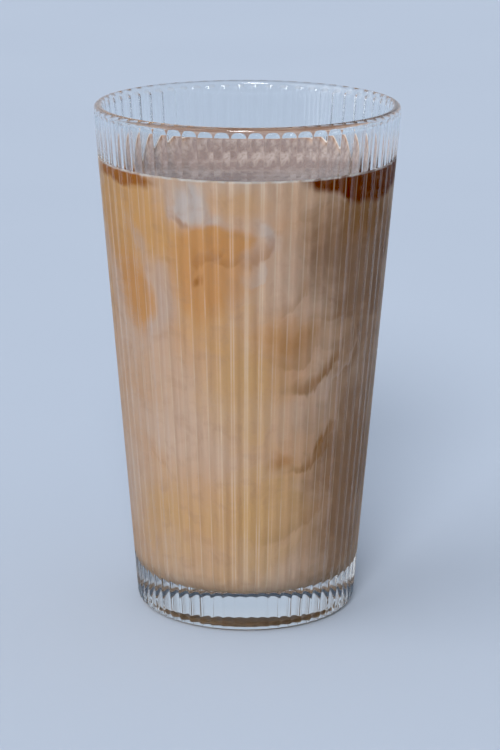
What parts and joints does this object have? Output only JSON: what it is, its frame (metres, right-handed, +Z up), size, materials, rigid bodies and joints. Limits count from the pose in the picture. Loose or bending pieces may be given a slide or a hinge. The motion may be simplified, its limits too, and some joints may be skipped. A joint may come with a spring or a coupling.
{
  "type": "iced latte in a fluted glass tumbler",
  "caption": "Tall tapered clear glass tumbler with narrow vertical flutes and a smooth rounded lip, filled near the rim with marbled milky coffee.",
  "frame": {"origin": "centre of the foot, on the surface that the tumbler stands on", "axes": "+Z up along the tumbler's axis, -Y the front that the picture shows, +X to the right seen from the front"},
  "size_m": [0.0806, 0.0806, 0.137],
  "materials": {
    "clear_glass": "clear pressed soda-lime glass, fire-polished",
    "milky_coffee": "wet, opaque, marbled from milk white through tan to dark coffee"
  },
  "bodies": {
    "root": {"glass": "clear_glass", "latte": "milky_coffee"}
  },
  "joints": []
}
